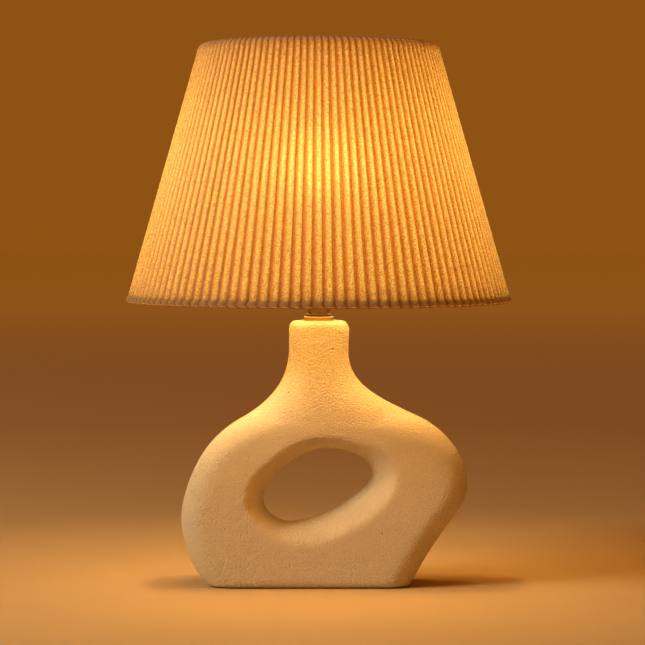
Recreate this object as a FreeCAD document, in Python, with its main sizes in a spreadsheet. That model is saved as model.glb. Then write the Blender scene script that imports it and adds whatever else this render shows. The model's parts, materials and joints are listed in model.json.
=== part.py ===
"""Table lamp: hollow ceramic base with a slanted oval opening, brass fittings,
turn-knob socket, bulb, harp and a ribbed fabric shade.

Millimetres. Origin: centre of the underside, on the axis of the neck.
+Z up, -Y towards the front.
"""
import FreeCAD, Part
import math
import os
import re

import Sketcher

Vector = FreeCAD.Vector

doc = FreeCAD.newDocument("table_lamp")
sheet = doc.addObject("Spreadsheet::Sheet", "Sizes")

SIZES = [
    # ceramic base
    ("neck_top", 238.0, "height of the ceramic neck above the table"),
    ("neck_radius", 27.25, "round neck"),
    ("neck_flare", 0.46, "share of the way from shoulders to top where the neck turns plain"),
    ("neck_edge_round", 6.0, "rounded rim of the neck"),
    ("neck_edge_arc", 1.025, "arc of the rim cut against its rounding, so it crosses the neck"),
    ("neck_ceiling", 7.0, "ceramic above the hollow of the neck"),
    ("neck_bore", 10.0, "radius of the hole in the neck's top"),
    ("base_depth", 76.0, "front face to back face"),
    ("base_stretch", 1.0, "width of the body, 1 is 257 mm"),
    ("edge_round", 22.0, "rounding between the faces and the rim"),
    ("foot_round", 5.0, "rounding where the body meets its foot"),
    ("base_wall", 6.0, "wall of the hollow casting"),
    ("opening_stretch", 1.0, "size of the oval opening about its centre"),
    ("crease_round", 5.0, "rounding of the opening's lip"),
    ("overrun", 2.0, "cutting shapes run this far past a face"),
    ("felt_thick", 1.5, "felt under the foot"),
    ("felt_inset", 7.0, "felt's edge inside the foot's edge"),
    ("inlet_radius", 5.0, "hole for the lead in the back"),
    ("inlet_height", 22.0, "height of that hole"),
    ("grommet_lip", 2.0, "flange of the grommet beyond its hole"),
    ("grommet_bore", 3.3, "radius of the free way through the grommet"),
    ("grommet_flange", 1.6, "thickness of each flange"),
    # rod and fittings on the neck
    ("rod_radius", 4.9, "threaded tube"),
    ("rod_bore", 3.4, "way for the lead through the tube"),
    ("rod_slack", 0.2, "hole around the tube, each side"),
    ("rod_below", 12.0, "tube below the toggle bar"),
    ("rod_into_cap", 3.2, "tube inside the socket's cap"),
    ("toggle_length", 36.0, "bar that bridges the hollow neck"),
    ("toggle_width", 13.0, "narrow enough to pass through the neck's hole"),
    ("toggle_thick", 2.0, "flat steel"),
    ("nut_across", 14.0, "across flats"),
    ("nut_thick", 4.0, "hexagon nut"),
    ("collar_radius", 13.5, "brass ring on the neck's top"),
    ("collar_thick", 4.0, ""),
    ("collar_round", 1.2, ""),
    ("edge_break", 0.5, "small rounding of turned edges"),
    ("spindle_low_radius", 11.3, "foot of the tapered brass neck"),
    ("spindle_top_radius", 9.4, "top of the tapered brass neck"),
    ("spindle_height", 15.0, ""),
    ("spindle_foot_height", 1.6, "plain foot of the tapered neck"),
    ("spindle_groove", 0.8, "height of the step above that foot"),
    ("spindle_step", 0.9, "step inwards above that foot"),
    ("washer_thick", 1.0, "toothed washer under the socket"),
    ("washer_radius", 8.0, ""),
    # harp
    ("saddle_thick", 1.5, "flat strap"),
    ("saddle_width", 11.0, ""),
    ("saddle_flat", 19.0, "half length of the level part"),
    ("leg_offset", 28.0, "harp's leg from the axis"),
    ("saddle_rise", 8.0, "post's foot above the level part"),
    ("post_height", 9.0, "post that the harp's leg stands on"),
    ("wire_radius", 1.6, "harp wire and posts"),
    ("leg_height", 34.0, "straight leg of the harp"),
    ("harp_half_width", 56.0, "widest part of the bow, from the axis"),
    ("bow_run", 46.0, "height over which the bow swings out, and in again"),
    ("bow_low_round", 25.0, "bend at the top of each leg"),
    ("bow_belly_round", 60.0, ""),
    ("bow_shoulder_round", 45.0, ""),
    ("bow_top_round", 22.0, ""),
    ("bow_top_reach", 12.0, "level top of the bow past its seat"),
    ("harp_height", 205.0, "from the saddle to the shade's seat"),
    ("sleeve_length", 16.0, ""),
    ("sleeve_wall", 1.1, ""),
    ("sleeve_slack", 0.3, "sleeve around the wire"),
    ("sleeve_round", 0.4, ""),
    ("sleeve_below", 8.0, "sleeve's end below the top of the post"),
    ("seat_radius", 7.5, "disc that carries the shade"),
    ("seat_thick", 6.0, ""),
    ("stud_radius", 3.1, "threaded stud for the finial"),
    ("stud_height", 16.0, ""),
    # socket
    ("cap_radius", 17.0, "socket cap"),
    ("cap_height", 18.0, ""),
    ("cap_wall", 0.8, ""),
    ("cap_neck_radius", 9.0, "foot of the cap"),
    ("cap_waist_radius", 10.5, "where the cap starts to flare"),
    ("cap_waist", 4.0, "height of that place"),
    ("cap_shoulder", 9.0, "height where the flare ends"),
    ("cap_floor", 5.0, "thick floor around the tube"),
    ("cap_round", 2.0, ""),
    ("shell_start", 14.0, "shell's lower edge above the cap's underside"),
    ("shell_radius", 15.9, "socket shell"),
    ("shell_wall", 0.5, ""),
    ("shell_height", 47.0, ""),
    ("bead_out", 0.7, "rolled bead around the shell"),
    ("bead_drop", 2.0, "bead below the shell's top"),
    ("bead_slope", 1.0, ""),
    ("bead_flat", 2.0, ""),
    ("liner_wall", 0.6, "fibre sleeve inside the shell"),
    ("fit_gap", 0.2, "between nested parts of the socket"),
    ("block_height", 22.0, "moulded socket body"),
    ("block_bevel", 3.0, ""),
    ("contact_island", 3.0, "moulding left bare around the contact"),
    ("thread_shell_wall", 0.5, "threaded shell for the bulb"),
    ("thread_shell_height", 27.0, ""),
    ("contact_radius", 4.0, "centre contact"),
    ("contact_thick", 0.8, ""),
    ("screw_radius", 2.6, "terminal screw's head"),
    ("screw_head", 1.6, ""),
    ("screw_offset", 8.0, "screw from the axis"),
    ("shaft_radius", 1.6, "switch shaft"),
    ("shaft_fit", 0.05, "running clearance of the shaft"),
    ("shaft_length", 26.0, ""),
    ("shaft_share", 0.6, "shaft's height in the moulded body"),
    ("shaft_hole_gap", 0.8, "shell's hole around the shaft"),
    ("shaft_end_gap", 1.0, "bore past the inner end of the shaft"),
    ("drill_run", 12.0, "length of the drill for the shell's hole"),
    ("shaft_inner", 7.0, "shaft's inner end from the axis"),
    ("knob_radius", 5.5, ""),
    ("knob_length", 10.0, ""),
    ("knob_taper", 1.0, "knob's inner edge"),
    ("knob_collar", 1.5, ""),
    ("knob_round", 1.2, ""),
    ("flute_radius", 0.7, "grooves around the knob"),
    ("flute_shift", 0.2, "groove's centre outside the knob"),
    ("flute_start", 2.5, "groove's start from the inner face"),
    ("knob_start", 19.5, "knob's inner face from the axis"),
    # bulb
    ("bulb_gap", 0.3, "between the bulb and the socket"),
    ("bulb_radius", 30.0, "widest part of the glass"),
    ("bulb_height", 108.0, "overall, with its base"),
    ("bulb_wall", 1.0, ""),
    ("bulb_pole", 0.2, "flat left at the very top of the glass"),
    ("glass_tuck", 1.2, "glass neck inside the base's radius"),
    ("glass_depth", 3.0, "glass held inside the base"),
    ("throat_height", 9.0, "narrow part of the glass above the base"),
    ("throat_out", 0.2, ""),
    ("throat_round", 30.0, ""),
    ("waist_drop", 13.0, "where the glass starts to swell, below its middle"),
    ("waist_round", 34.0, ""),
    ("bulb_base_radius", 13.0, "screw base"),
    ("bulb_base_height", 24.0, ""),
    ("base_eye", 5.0, "radius of the hole in the end of the base"),
    ("base_end_inset", 2.5, ""),
    ("base_end_thick", 1.5, ""),
    ("base_side_thick", 2.6, ""),
    ("base_rim_thick", 0.7, "around the glass"),
    ("press_gap", 0.1, "between pressed bulb pieces"),
    ("thread_start", 2.0, ""),
    ("thread_pitch", 3.2, ""),
    ("thread_deep", 0.9, ""),
    ("insulator_inset", 3.0, ""),
    ("tip_inset", 0.7, "contact's radius inside the socket's contact"),
    ("tip_step", 0.6, "insulator above the contact's face"),
    ("bulb_tip", 2.0, "contact and insulator below the base"),
    ("filament_length", 30.0, ""),
    ("filament_radius", 0.9, ""),
    ("filament_circle", 7.0, "filaments from the axis"),
    ("filament_above", 12.0, "filaments' top above the bulb's middle"),
    ("stem_radius", 1.5, "glass pillar"),
    ("stem_foot_radius", 3.5, ""),
    ("stem_cone", 6.0, "flare under the lower disc"),
    ("stem_spare", 3.0, "discs and their ends"),
    ("disc_thick", 1.0, ""),
    # shade
    ("spider_rise", 23.7, "shade's top above the underside of its spider washer"),
    ("shade_height", 233.0, ""),
    ("shade_low_radius", 173.0, ""),
    ("shade_top_radius", 106.5, ""),
    ("cover_thick", 4.2, "ribbed cover, crest to back"),
    ("cover_round", 8.0, "roll of the cover over the top ring"),
    ("hem_round", 2.5, "lower edge of the cover"),
    ("lip_top", 8.0, "cover turned in over the top ring"),
    ("lip_low", 4.0, "cover turned in under the bottom ring"),
    ("lip_thick", 1.4, ""),
    ("shade_liner", 0.5, "stiff translucent liner"),
    ("liner_gap", 0.2, "liner to cover and rings"),
    ("liner_short", 1.0, "liner short of each lip"),
    ("ring_radius", 1.6, "steel rings"),
    ("tape_width", 11.0, "binding inside each edge"),
    ("tape_thick", 0.5, ""),
    ("tape_gap", 0.5, "tape to ring"),
    ("arm_radius", 1.5, "spider arms"),
    ("arm_start", 10.0, "arm's inner end from the axis, inside the washer"),
    ("arm_lean", 4.0, "arm's bend inside its upper end"),
    ("arm_bend", 12.0, "bend where an arm turns up to the ring"),
    ("hub_radius", 12.0, "spider washer"),
    ("hub_thick", 1.6, ""),
    ("hub_gap", 0.3, "between the washer and what it turns on"),
    ("stud_slack", 0.2, "washer's hole around the stud"),
    # finial
    ("finial_foot", 6.0, ""),
    ("finial_waist", 4.2, ""),
    ("finial_ball", 7.5, ""),
    ("finial_height", 19.0, ""),
    ("finial_step", 2.0, "height of each turned step"),
    ("finial_round", 3.0, ""),
    ("finial_tip", 3.5, ""),
    ("finial_fit", 0.05, "running clearance on the stud"),
]

# Heights and places that follow from the sizes.
PLACES = {
    "base_foot": "felt_thick",
    "hollow_top": "neck_top - neck_ceiling",
    "toggle_low": "hollow_top - toggle_thick",
    "collar_top": "neck_top + collar_thick",
    "spindle_top": "collar_top + spindle_height",
    "saddle_top": "spindle_top + saddle_thick",
    "washer_top": "saddle_top + washer_thick",
    "cap_top": "washer_top + cap_height",
    "rod_top": "washer_top + rod_into_cap",
    "post_low": "saddle_top + saddle_rise",
    "post_top": "post_low + post_height",
    "leg_top": "post_top + leg_height",
    "seat_top": "saddle_top + harp_height",
    "harp_top": "seat_top - seat_thick + wire_radius * 2",
    "sleeve_low": "post_top - sleeve_below",
    "shell_low": "washer_top + shell_start",
    "shell_top": "shell_low + shell_height",
    "block_low": "shell_low - block_bevel",
    "block_top": "block_low + block_height",
    "block_radius": "shell_radius - shell_wall - liner_wall - fit_gap * 2",
    "thread_shell_radius": "block_radius - fit_gap",
    "shaft_height": "block_low + block_height * shaft_share",
    "contact_top": "block_top + contact_thick",
    "bulb_low": "contact_top + bulb_gap",
    "bulb_base_low": "bulb_low + bulb_tip",
    "bulb_base_top": "bulb_base_low + bulb_base_height",
    "bulb_top": "bulb_low + bulb_height",
    "bulb_middle": "bulb_top - bulb_radius",
    "stem_top": "bulb_middle + filament_above",
    "stem_low": "stem_top - filament_length - stem_spare",
    "shade_slope": "(shade_low_radius - shade_top_radius) / shade_height",
    "hub_low": "seat_top + hub_gap",
    "hub_top": "hub_low + hub_thick",
    "shade_top": "hub_low + spider_rise",
    "shade_bottom": "shade_top - shade_height",
    "finial_low": "hub_top + hub_gap",
    "ring_high": "shade_top - lip_thick - liner_gap - ring_radius",
    "ring_low": "shade_bottom + lip_thick + liner_gap + ring_radius",
    "liner_inset": "cover_thick + liner_gap + shade_liner",
    "ring_inset": "liner_inset + liner_gap + ring_radius",
    "ring_top_radius": "shade_top_radius + shade_slope * (shade_top - ring_high) - ring_inset",
    "ring_low_radius": "shade_low_radius - shade_slope * (ring_low - shade_bottom) - ring_inset",
}

ALIASES = [name for name, _, _ in SIZES]

# Two heights nearer than this are the same.
TOUCH = 0.01


def fill_sheet():
    for row, (alias, number, note) in enumerate(SIZES, start=1):
        sheet.set(f"A{row}", alias)
        sheet.set(f"B{row}", str(number))
        sheet.setAlias(f"B{row}", alias)
        sheet.set(f"C{row}", note)
    doc.recompute()


def bound(words):
    """An expression in plain size names, written for setExpression."""
    def spell(match):
        word = match.group(0)
        if word in PLACES:
            return "(" + bound(PLACES[word]) + ")"
        return "Sizes." + word if word in ALIASES else word
    return re.sub(r"[a-z_][a-z_0-9]*", spell, str(words))


def size(words):
    """The number that such an expression gives."""
    return float(sheet.evalExpression(bound(words)))


def set_sizes(thing, **settings):
    """Bind properties such as Radius or Height to expressions."""
    for prop, words in settings.items():
        thing.setExpression(prop, bound(words))


def set_place(thing, x=0, y=0, z=0):
    for axis, words in (("x", x), ("y", y), ("z", z)):
        thing.setExpression(f"Placement.Base.{axis}", bound(words))


def turned_to(thing, axis, angle):
    thing.Placement = FreeCAD.Placement(Vector(), FreeCAD.Rotation(axis, angle))


def draw_outline(sketch, corners, closed=True):
    """Straight lines through (across, up, round) corners, each tied to the sheet."""
    spots = [(size(c[0]), size(c[1])) for c in corners]
    count = len(spots)
    lines = count if closed else count - 1
    for i in range(lines):
        a, b = spots[i], spots[(i + 1) % count]
        sketch.addGeometry(Part.LineSegment(Vector(*a, 0), Vector(*b, 0)), False)
    for i in range(lines if closed else lines - 1):
        sketch.addConstraint(Sketcher.Constraint("Coincident", i, 2, (i + 1) % count, 1))
    for i, (spot, corner) in enumerate(zip(spots, corners)):
        line, end = (i, 1) if i < lines else (i - 1, 2)
        for kind, axis, number, words in (("DistanceX", -2, spot[0], corner[0]),
                                          ("DistanceY", -1, spot[1], corner[1])):
            if str(words) == "0":
                sketch.addConstraint(Sketcher.Constraint("PointOnObject", line, end, axis))
                continue
            tie = sketch.addConstraint(Sketcher.Constraint(kind, -1, 1, line, end, number))
            sketch.setExpression(f"Constraints[{tie}]", bound(words))
    for i, corner in enumerate(corners):
        if len(corner) == 2:
            continue
        first = sketch.GeometryCount
        sketch.fillet(i, 1, size(corner[2]), True, True)
        arc = [k for k in range(first, sketch.GeometryCount)
               if isinstance(sketch.Geometry[k], Part.ArcOfCircle)][0]
        tie = sketch.addConstraint(Sketcher.Constraint("Radius", arc, size(corner[2])))
        sketch.setExpression(f"Constraints[{tie}]", bound(corner[2]))


def sketch_in(body, name, plane="XZ_Plane"):
    sketch = body.newObject("Sketcher::SketchObject", name)
    support = [f for f in body.Origin.OriginFeatures if f.Role == plane][0]
    sketch.AttachmentSupport = [(support, "")]
    sketch.MapMode = "FlatFace"
    return sketch


def revolved(label, corners):
    """A round piece: its half section turned about the vertical axis."""
    body = doc.addObject("PartDesign::Body", label)
    sketch = sketch_in(body, label + "_section")
    draw_outline(sketch, corners)
    turn = body.newObject("PartDesign::Revolution", label + "_turn")
    turn.Profile = (sketch, [""])
    turn.ReferenceAxis = (sketch, ["V_Axis"])
    turn.Angle = 360
    doc.recompute()
    return body


def cylinder(label, radius, height):
    rod = doc.addObject("Part::Cylinder", label)
    set_sizes(rod, Radius=radius, Height=height)
    return rod


def combined(kind, label, *pieces):
    """Part::Cut, Part::Common or Part::MultiFuse of finished objects."""
    result = doc.addObject(kind, label)
    if kind == "Part::MultiFuse":
        result.Shapes = list(pieces)
    else:
        result.Base, result.Tool = pieces
    doc.recompute()
    return result


def drilled(label, base, radius, start, length, height):
    """A piece with a hole drilled towards the front, from start outwards."""
    drill = cylinder(label + "_drill", radius, length)
    turned_to(drill, Vector(1, 0, 0), 90)
    set_place(drill, y="-(" + start + ")", z=height)
    return combined("Part::Cut", label, base, drill)


def solid(label, shape):
    thing = doc.addObject("Part::Feature", label)
    thing.Shape = shape
    return thing


# ---------------------------------------------------------------- ceramic base

# Rim of the body in front view (across, up) from the left shoulder round the
# foot to the right shoulder. It runs on below the floor, where the foot cuts it,
# and across the top, inside the shoulders.
RIM = [(-72.7, 150), (-92, 134.5), (-108.2, 112.5), (-119.4, 85.5), (-123.5, 61), (-120.3, 40.5),
       (-112.2, 18), (-97.8, 0), (-70, -24), (-20, -42), (30, -42), (66, -22), (83.5, 4),
       (99.3, 31.5), (118.2, 58.5), (129.9, 76.5), (133.5, 93), (127.2, 117), (113.7, 135),
       (93.9, 150), (48, 162), (0, 166), (-38, 163)]

# Shoulders up to the neck: height, left half width, right half width, share of the
# change from the body's depth to the neck's, and squareness (2 is an ellipse).
SHOULDERS = [(137, 89.6, 112.0, 0.037, 3.0), (150, 72.7, 93.9, 0.074, 2.8),
             (163, 53.1, 67.5, 0.242, 2.5), (176, 39.2, 45.0, 0.521, 2.25), (190, 31.0, 32.0, 0.8, 2.05)]

# The opening: matching points on its lip at the faces and on its waist at mid depth.
OPENING_CENTRE = (0.0, 89.0)
LIP = [(-67.0, 77), (-61.0, 97.5), (-44.5, 114), (-22.0, 130), (5.0, 136.4), (36.0, 131.4),
       (62.0, 119.5), (72.0, 100), (61.5, 75.5), (33.0, 53), (-8.0, 38.7), (-38.0, 45), (-58.0, 61.5)]
WAIST = [(-50.2, 77.5), (-44.5, 93.5), (-32.0, 106), (-12.0, 118.8), (10.0, 123), (30.0, 119.4),
         (44.5, 109.3), (47.9, 98), (38.5, 85.8), (17.0, 70), (-14.0, 58), (-36.0, 58.7), (-47.5, 68)]


def flat_loop(points, y):
    """A closed smooth curve through front-view points, in the plane at y."""
    curve = Part.BSplineCurve()
    curve.interpolate(Points=[Vector(x, y, z) for x, z in points], PeriodicFlag=True)
    return Part.Wire([curve.toShape()])


def moved_in(points, distance):
    """Points of a closed outline, each moved square to it towards its inside."""
    moved = []
    count = len(points)
    for i, (x, z) in enumerate(points):
        (ax, az), (bx, bz) = points[i - 1], points[(i + 1) % count]
        along = math.hypot(bx - ax, bz - az)
        moved.append((x - distance * (bz - az) / along, z + distance * (bx - ax) / along))
    return moved


def body_slab(inset):
    """The body between its faces, shrunk by the wall for the hollow inside."""
    half = size("base_depth") / 2 - inset
    stretch = size("base_stretch")
    rim = moved_in([(x * stretch, z) for x, z in RIM], inset)
    slab = Part.Face(flat_loop(rim, -half)).extrude(Vector(0, 2 * half, 0))
    edges = [e for e in slab.Edges if abs(e.BoundBox.YMin - e.BoundBox.YMax) < TOUCH]
    return slab.makeFillet(size("edge_round") - inset, edges)


def shoulder_section(height, left, right, half_depth, square):
    """A level section: an ellipse that squares up towards the body."""
    steps = 24
    points = []
    for i in range(steps):
        turn = 2 * math.pi * i / steps
        across, along = math.cos(turn), math.sin(turn)
        x = math.copysign(abs(across) ** (2 / square), across)
        y = math.copysign(abs(along) ** (2 / square), along)
        points.append(Vector(x * (right if x > 0 else left), y * half_depth, height))
    curve = Part.BSplineCurve()
    curve.interpolate(Points=points, PeriodicFlag=True)
    return Part.Wire([curve.toShape()])


def shoulder_loft(inset, top):
    """Neck and shoulders in one skin, shrunk by the wall for the hollow inside."""
    half = size("base_depth") / 2
    neck = size("neck_radius")
    stretch = size("base_stretch")
    stations = []
    for height, left, right, share, square in SHOULDERS:
        depth = half + (neck - half) * share
        stations.append((height, left * stretch, right * stretch, depth, square))
    last = SHOULDERS[-1][0]
    stations.append((last + (size("neck_top") - last) * size("neck_flare"), neck, neck, neck, 2))
    stations.append((top, neck, neck, neck, 2))
    wires = []
    for i, (height, left, right, depth, square) in enumerate(stations):
        before = stations[max(i - 1, 0)]
        after = stations[min(i + 1, len(stations) - 1)]
        spread = (before[1] - after[1] + before[2] - after[2]) / 2
        lean = math.hypot(1, spread / (after[0] - before[0]))
        wires.append(shoulder_section(height, left - inset * lean, right - inset * lean,
                                      depth - inset, square))
    return Part.makeLoft(wires, True, False)


def rim_cutter(top):
    """Ring that rounds the neck's rim. Its arc crosses the neck at a slight angle."""
    rim_round = size("neck_edge_round")
    overrun = size("overrun")
    inner = size("neck_radius") - rim_round
    low = Vector(0, 0, top - rim_round)
    block = Part.makeCylinder(size("neck_radius") + overrun, rim_round + overrun, low)
    core = Part.makeCylinder(inner, rim_round + overrun, low)
    return block.cut(core).cut(Part.makeTorus(inner, rim_round * size("neck_edge_arc"), low))


def opening_plug(outset):
    """The flared space of the opening, grown by the wall for the hollow inside."""
    half = size("base_depth") / 2
    stretch = size("opening_stretch")
    overrun = size("overrun")

    def grown(points):
        cx, cz = OPENING_CENTRE
        moved = []
        for x, z in points:
            far = math.hypot(x - cx, z - cz)
            scale = stretch + outset / far
            moved.append((cx + (x - cx) * scale, cz + (z - cz) * scale))
        return moved

    return Part.makeLoft([flat_loop(grown(LIP), -half - overrun), flat_loop(grown(WAIST), 0),
                          flat_loop(grown(LIP), half + overrun)], True, False)


def edges_on(shape, test):
    return [e for e in shape.Edges if all(test(v.Point) for v in e.Vertexes)
            and test(e.valueAt((e.FirstParameter + e.LastParameter) / 2))]


def body_mass(inset, foot, top):
    """Body, shoulders and neck, cut flat at the foot."""
    mass = body_slab(inset).fuse(shoulder_loft(inset, top))
    reach = 1000
    below = Part.makeBox(reach, reach, reach, Vector(-reach / 2, -reach / 2, foot - reach))
    return mass.cut(below)


def ceramic_base():
    """The casting: outside skin with its opening, less the hollow and the holes."""
    top = size("neck_top")
    foot = size("base_foot")
    half = size("base_depth") / 2
    wall = size("base_wall")
    stretch = size("opening_stretch")
    outside = body_mass(0, foot, top).cut(rim_cutter(top))
    outside = outside.makeFillet(size("foot_round"),
                                 edges_on(outside, lambda p: abs(p.z - foot) < TOUCH))
    outside = outside.cut(opening_plug(0))

    reach = max(math.hypot(x - OPENING_CENTRE[0], z - OPENING_CENTRE[1]) for x, z in LIP)

    def on_lip(p):
        far = math.hypot(p.x - OPENING_CENTRE[0], p.z - OPENING_CENTRE[1])
        return abs(abs(p.y) - half) < TOUCH and far < reach * stretch + 1

    outside = outside.makeFillet(size("crease_round"), edges_on(outside, on_lip))
    hollow = body_mass(wall, foot + wall, size("hollow_top")).cut(opening_plug(wall))
    ceiling = size("neck_ceiling")
    overrun = size("overrun")
    neck_hole = Part.makeCylinder(size("neck_bore"), ceiling + overrun * 2,
                                  Vector(0, 0, top - ceiling - overrun))
    start = Vector(0, half - wall - overrun, size("inlet_height"))
    inlet = Part.makeCylinder(size("inlet_radius"), wall + overrun * 2, start, Vector(0, 1, 0))
    casting = outside.cut(hollow).cut(neck_hole).cut(inlet)
    return solid("ceramic_base", casting.Solids[0])


def felt_pad():
    """Felt under the foot, a little inside its edge."""
    foot = size("base_foot")
    mass = body_mass(0, foot, size("neck_top"))
    under = [f for f in mass.Faces if abs(f.BoundBox.ZMax - foot) < TOUCH][0]
    box = under.BoundBox
    inset = 2 * (size("foot_round") + size("felt_inset"))
    shrink = FreeCAD.Matrix()
    shrink.scale(1 - inset / box.XLength, 1 - inset / box.YLength, 1)
    centre = (box.XMin + box.XMax) / 2
    under.translate(Vector(-centre, 0, -foot))
    outline = Part.Wire(under.OuterWire.transformGeometry(shrink).Edges)
    pad = Part.Face(outline).extrude(Vector(0, 0, size("felt_thick")))
    pad.translate(Vector(centre, 0, 0))
    return solid("felt_pad", pad)


def inlet_grommet():
    """Rubber grommet clipped into the hole in the back."""
    wall = size("base_wall")
    flange = size("grommet_flange")
    hole = size("inlet_radius")
    lip = hole + size("grommet_lip")
    bore = size("grommet_bore")
    section = [(bore, -flange), (lip, -flange), (lip, 0), (hole, 0), (hole, wall),
               (lip, wall), (lip, wall + flange), (bore, wall + flange)]
    wire = Part.makePolygon([Vector(x, y, 0) for x, y in section + section[:1]])
    ring = Part.Face(wire).revolve(Vector(), Vector(0, 1, 0), 360)
    ring.translate(Vector(0, size("base_depth") / 2 - wall, size("inlet_height")))
    return solid("inlet_grommet", ring)


# ------------------------------------------------------ rod and neck fittings

def hexagon_nut(label, low):
    prism = doc.addObject("Part::Prism", label + "_blank")
    prism.Polygon = 6
    set_sizes(prism, Circumradius="nut_across / sqrt(3)", Height="nut_thick")
    hole = cylinder(label + "_hole", "rod_radius + rod_slack", "nut_thick")
    nut = combined("Part::Cut", label, prism, hole)
    set_place(nut, z=low)
    return nut


def toggle_bar():
    strap = doc.addObject("Part::Box", "toggle_strap")
    set_sizes(strap, Length="toggle_length", Width="toggle_width", Height="toggle_thick")
    set_place(strap, x="-toggle_length / 2", y="-toggle_width / 2", z="toggle_low")
    hole = cylinder("toggle_hole", "rod_radius + rod_slack", "toggle_thick")
    set_place(hole, z="toggle_low")
    return combined("Part::Cut", "toggle_bar", strap, hole)


def threaded_rod():
    low = "toggle_low - rod_below"
    return revolved("threaded_rod", [("rod_bore", low), ("rod_radius", low),
                                     ("rod_radius", "rod_top"), ("rod_bore", "rod_top")])


def check_ring():
    bore = "rod_radius + rod_slack"
    return revolved("check_ring", [(bore, "neck_top"), ("collar_radius", "neck_top"),
                                   ("collar_radius", "collar_top", "collar_round"), (bore, "collar_top")])


def brass_neck():
    bore = "rod_radius + rod_slack"
    step = "collar_top + spindle_foot_height"
    return revolved("brass_neck", [
        (bore, "collar_top"), ("spindle_low_radius", "collar_top"),
        ("spindle_low_radius", step, "edge_break"),
        ("spindle_low_radius - spindle_step", step + " + spindle_groove"),
        ("spindle_top_radius", "spindle_top"), (bore, "spindle_top")])


def lock_washer():
    bore = "rod_radius + rod_slack"
    return revolved("lock_washer", [(bore, "saddle_top"), ("washer_radius", "saddle_top"),
                                    ("washer_radius", "washer_top"), (bore, "washer_top")])


# ------------------------------------------------------------------------ harp

def harp_saddle():
    """Strap under the socket with a round post at each end."""
    body = doc.addObject("PartDesign::Body", "saddle_strap")
    sketch = sketch_in(body, "saddle_side")
    out = "leg_offset + wire_radius"
    draw_outline(sketch, [
        ("-saddle_flat", "spindle_top"), ("saddle_flat", "spindle_top"),
        (out, "post_low - saddle_thick"), (out, "post_low"),
        ("leg_offset - wire_radius", "post_low"), ("saddle_flat - saddle_thick", "saddle_top"),
        ("-(saddle_flat - saddle_thick)", "saddle_top"), ("-(leg_offset - wire_radius)", "post_low"),
        ("-(" + out + ")", "post_low"), ("-(" + out + ")", "post_low - saddle_thick")])
    pad = body.newObject("PartDesign::Pad", "saddle_pad")
    pad.Profile = (sketch, [""])
    pad.Midplane = True
    pad.setExpression("Length", bound("saddle_width"))
    doc.recompute()
    hole = cylinder("saddle_hole", "rod_radius + rod_slack", "saddle_thick")
    set_place(hole, z="spindle_top")
    strap = combined("Part::Cut", "saddle_bored", body, hole)
    posts = []
    for side, x in (("left", "-leg_offset"), ("right", "leg_offset")):
        post = cylinder("saddle_post_" + side, "wire_radius", "post_height")
        set_place(post, x=x, z="post_low")
        posts.append(post)
    return combined("Part::MultiFuse", "harp_saddle", strap, *posts)


def wire_sweep(label, corners, start, radius, turn=None):
    """Round wire along a path of straight runs and arcs; start is its first end."""
    path = doc.addObject("Sketcher::SketchObject", label + "_path")
    upright = FreeCAD.Rotation(Vector(1, 0, 0), 90)
    swing = FreeCAD.Rotation(Vector(0, 0, 1), turn or 0)
    path.Placement = FreeCAD.Placement(Vector(), swing.multiply(upright))
    draw_outline(path, corners, closed=False)
    circle = doc.addObject("Part::Circle", label + "_section")
    set_sizes(circle, Radius=radius)
    doc.recompute()
    first = path.Shape.Edges[0]
    away = first.tangentAt(first.FirstParameter)
    circle.Placement = FreeCAD.Placement(Vector(), FreeCAD.Rotation(Vector(0, 0, 1), away))
    cosine = math.cos(math.radians(turn or 0))
    sine = math.sin(math.radians(turn or 0))
    set_place(circle, x=f"({start[0]}) * {cosine:.9f}", y=f"({start[0]}) * {sine:.9f}", z=start[1])
    sweep = doc.addObject("Part::Sweep", label)
    sweep.Sections = [circle]
    sweep.Spine = (path, [f"Edge{i + 1}" for i in range(len(path.Shape.Edges))])
    sweep.Solid = True
    doc.recompute()
    return sweep


def harp():
    """The bow: two straight legs, a wide belly and a narrow level top."""
    belly = "harp_half_width"
    neck = "seat_radius + bow_top_reach"
    left = [("-leg_offset", "post_top"), ("-leg_offset", "leg_top", "bow_low_round"),
            ("-" + belly, "leg_top + bow_run", "bow_belly_round"),
            ("-" + belly, "harp_top - bow_run", "bow_shoulder_round"),
            ("-(" + neck + ")", "harp_top", "bow_top_round")]
    right = [(x[1:] if x.startswith("-") else x, *rest) for x, *rest in reversed(left)]
    return wire_sweep("harp", left + right, ("-leg_offset", "post_top"), "wire_radius")


def harp_seat():
    """Disc on top of the harp that carries the shade, with the finial's stud."""
    low = "seat_top - seat_thick"
    turned = revolved("harp_seat_turned", [
        (0, low), ("seat_radius", low), ("seat_radius", "seat_top", "edge_break"),
        ("stud_radius", "seat_top"), ("stud_radius", "seat_top + stud_height"),
        (0, "seat_top + stud_height")])
    groove = cylinder("harp_seat_groove", "wire_radius", "seat_radius * 4")
    turned_to(groove, Vector(0, 1, 0), 90)
    set_place(groove, x="-seat_radius * 2", z="harp_top")
    return combined("Part::Cut", "harp_seat", turned, groove)


def harp_sleeve(side, x):
    inner = "wire_radius + sleeve_slack"
    outer = "wire_radius + sleeve_slack + sleeve_wall"
    top = "sleeve_low + sleeve_length"
    sleeve = revolved("harp_sleeve_" + side, [
        (inner, "sleeve_low"), (outer, "sleeve_low", "sleeve_round"),
        (outer, top, "sleeve_round"), (inner, top)])
    set_place(sleeve, x=x)
    return sleeve


# ---------------------------------------------------------------------- socket

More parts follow.
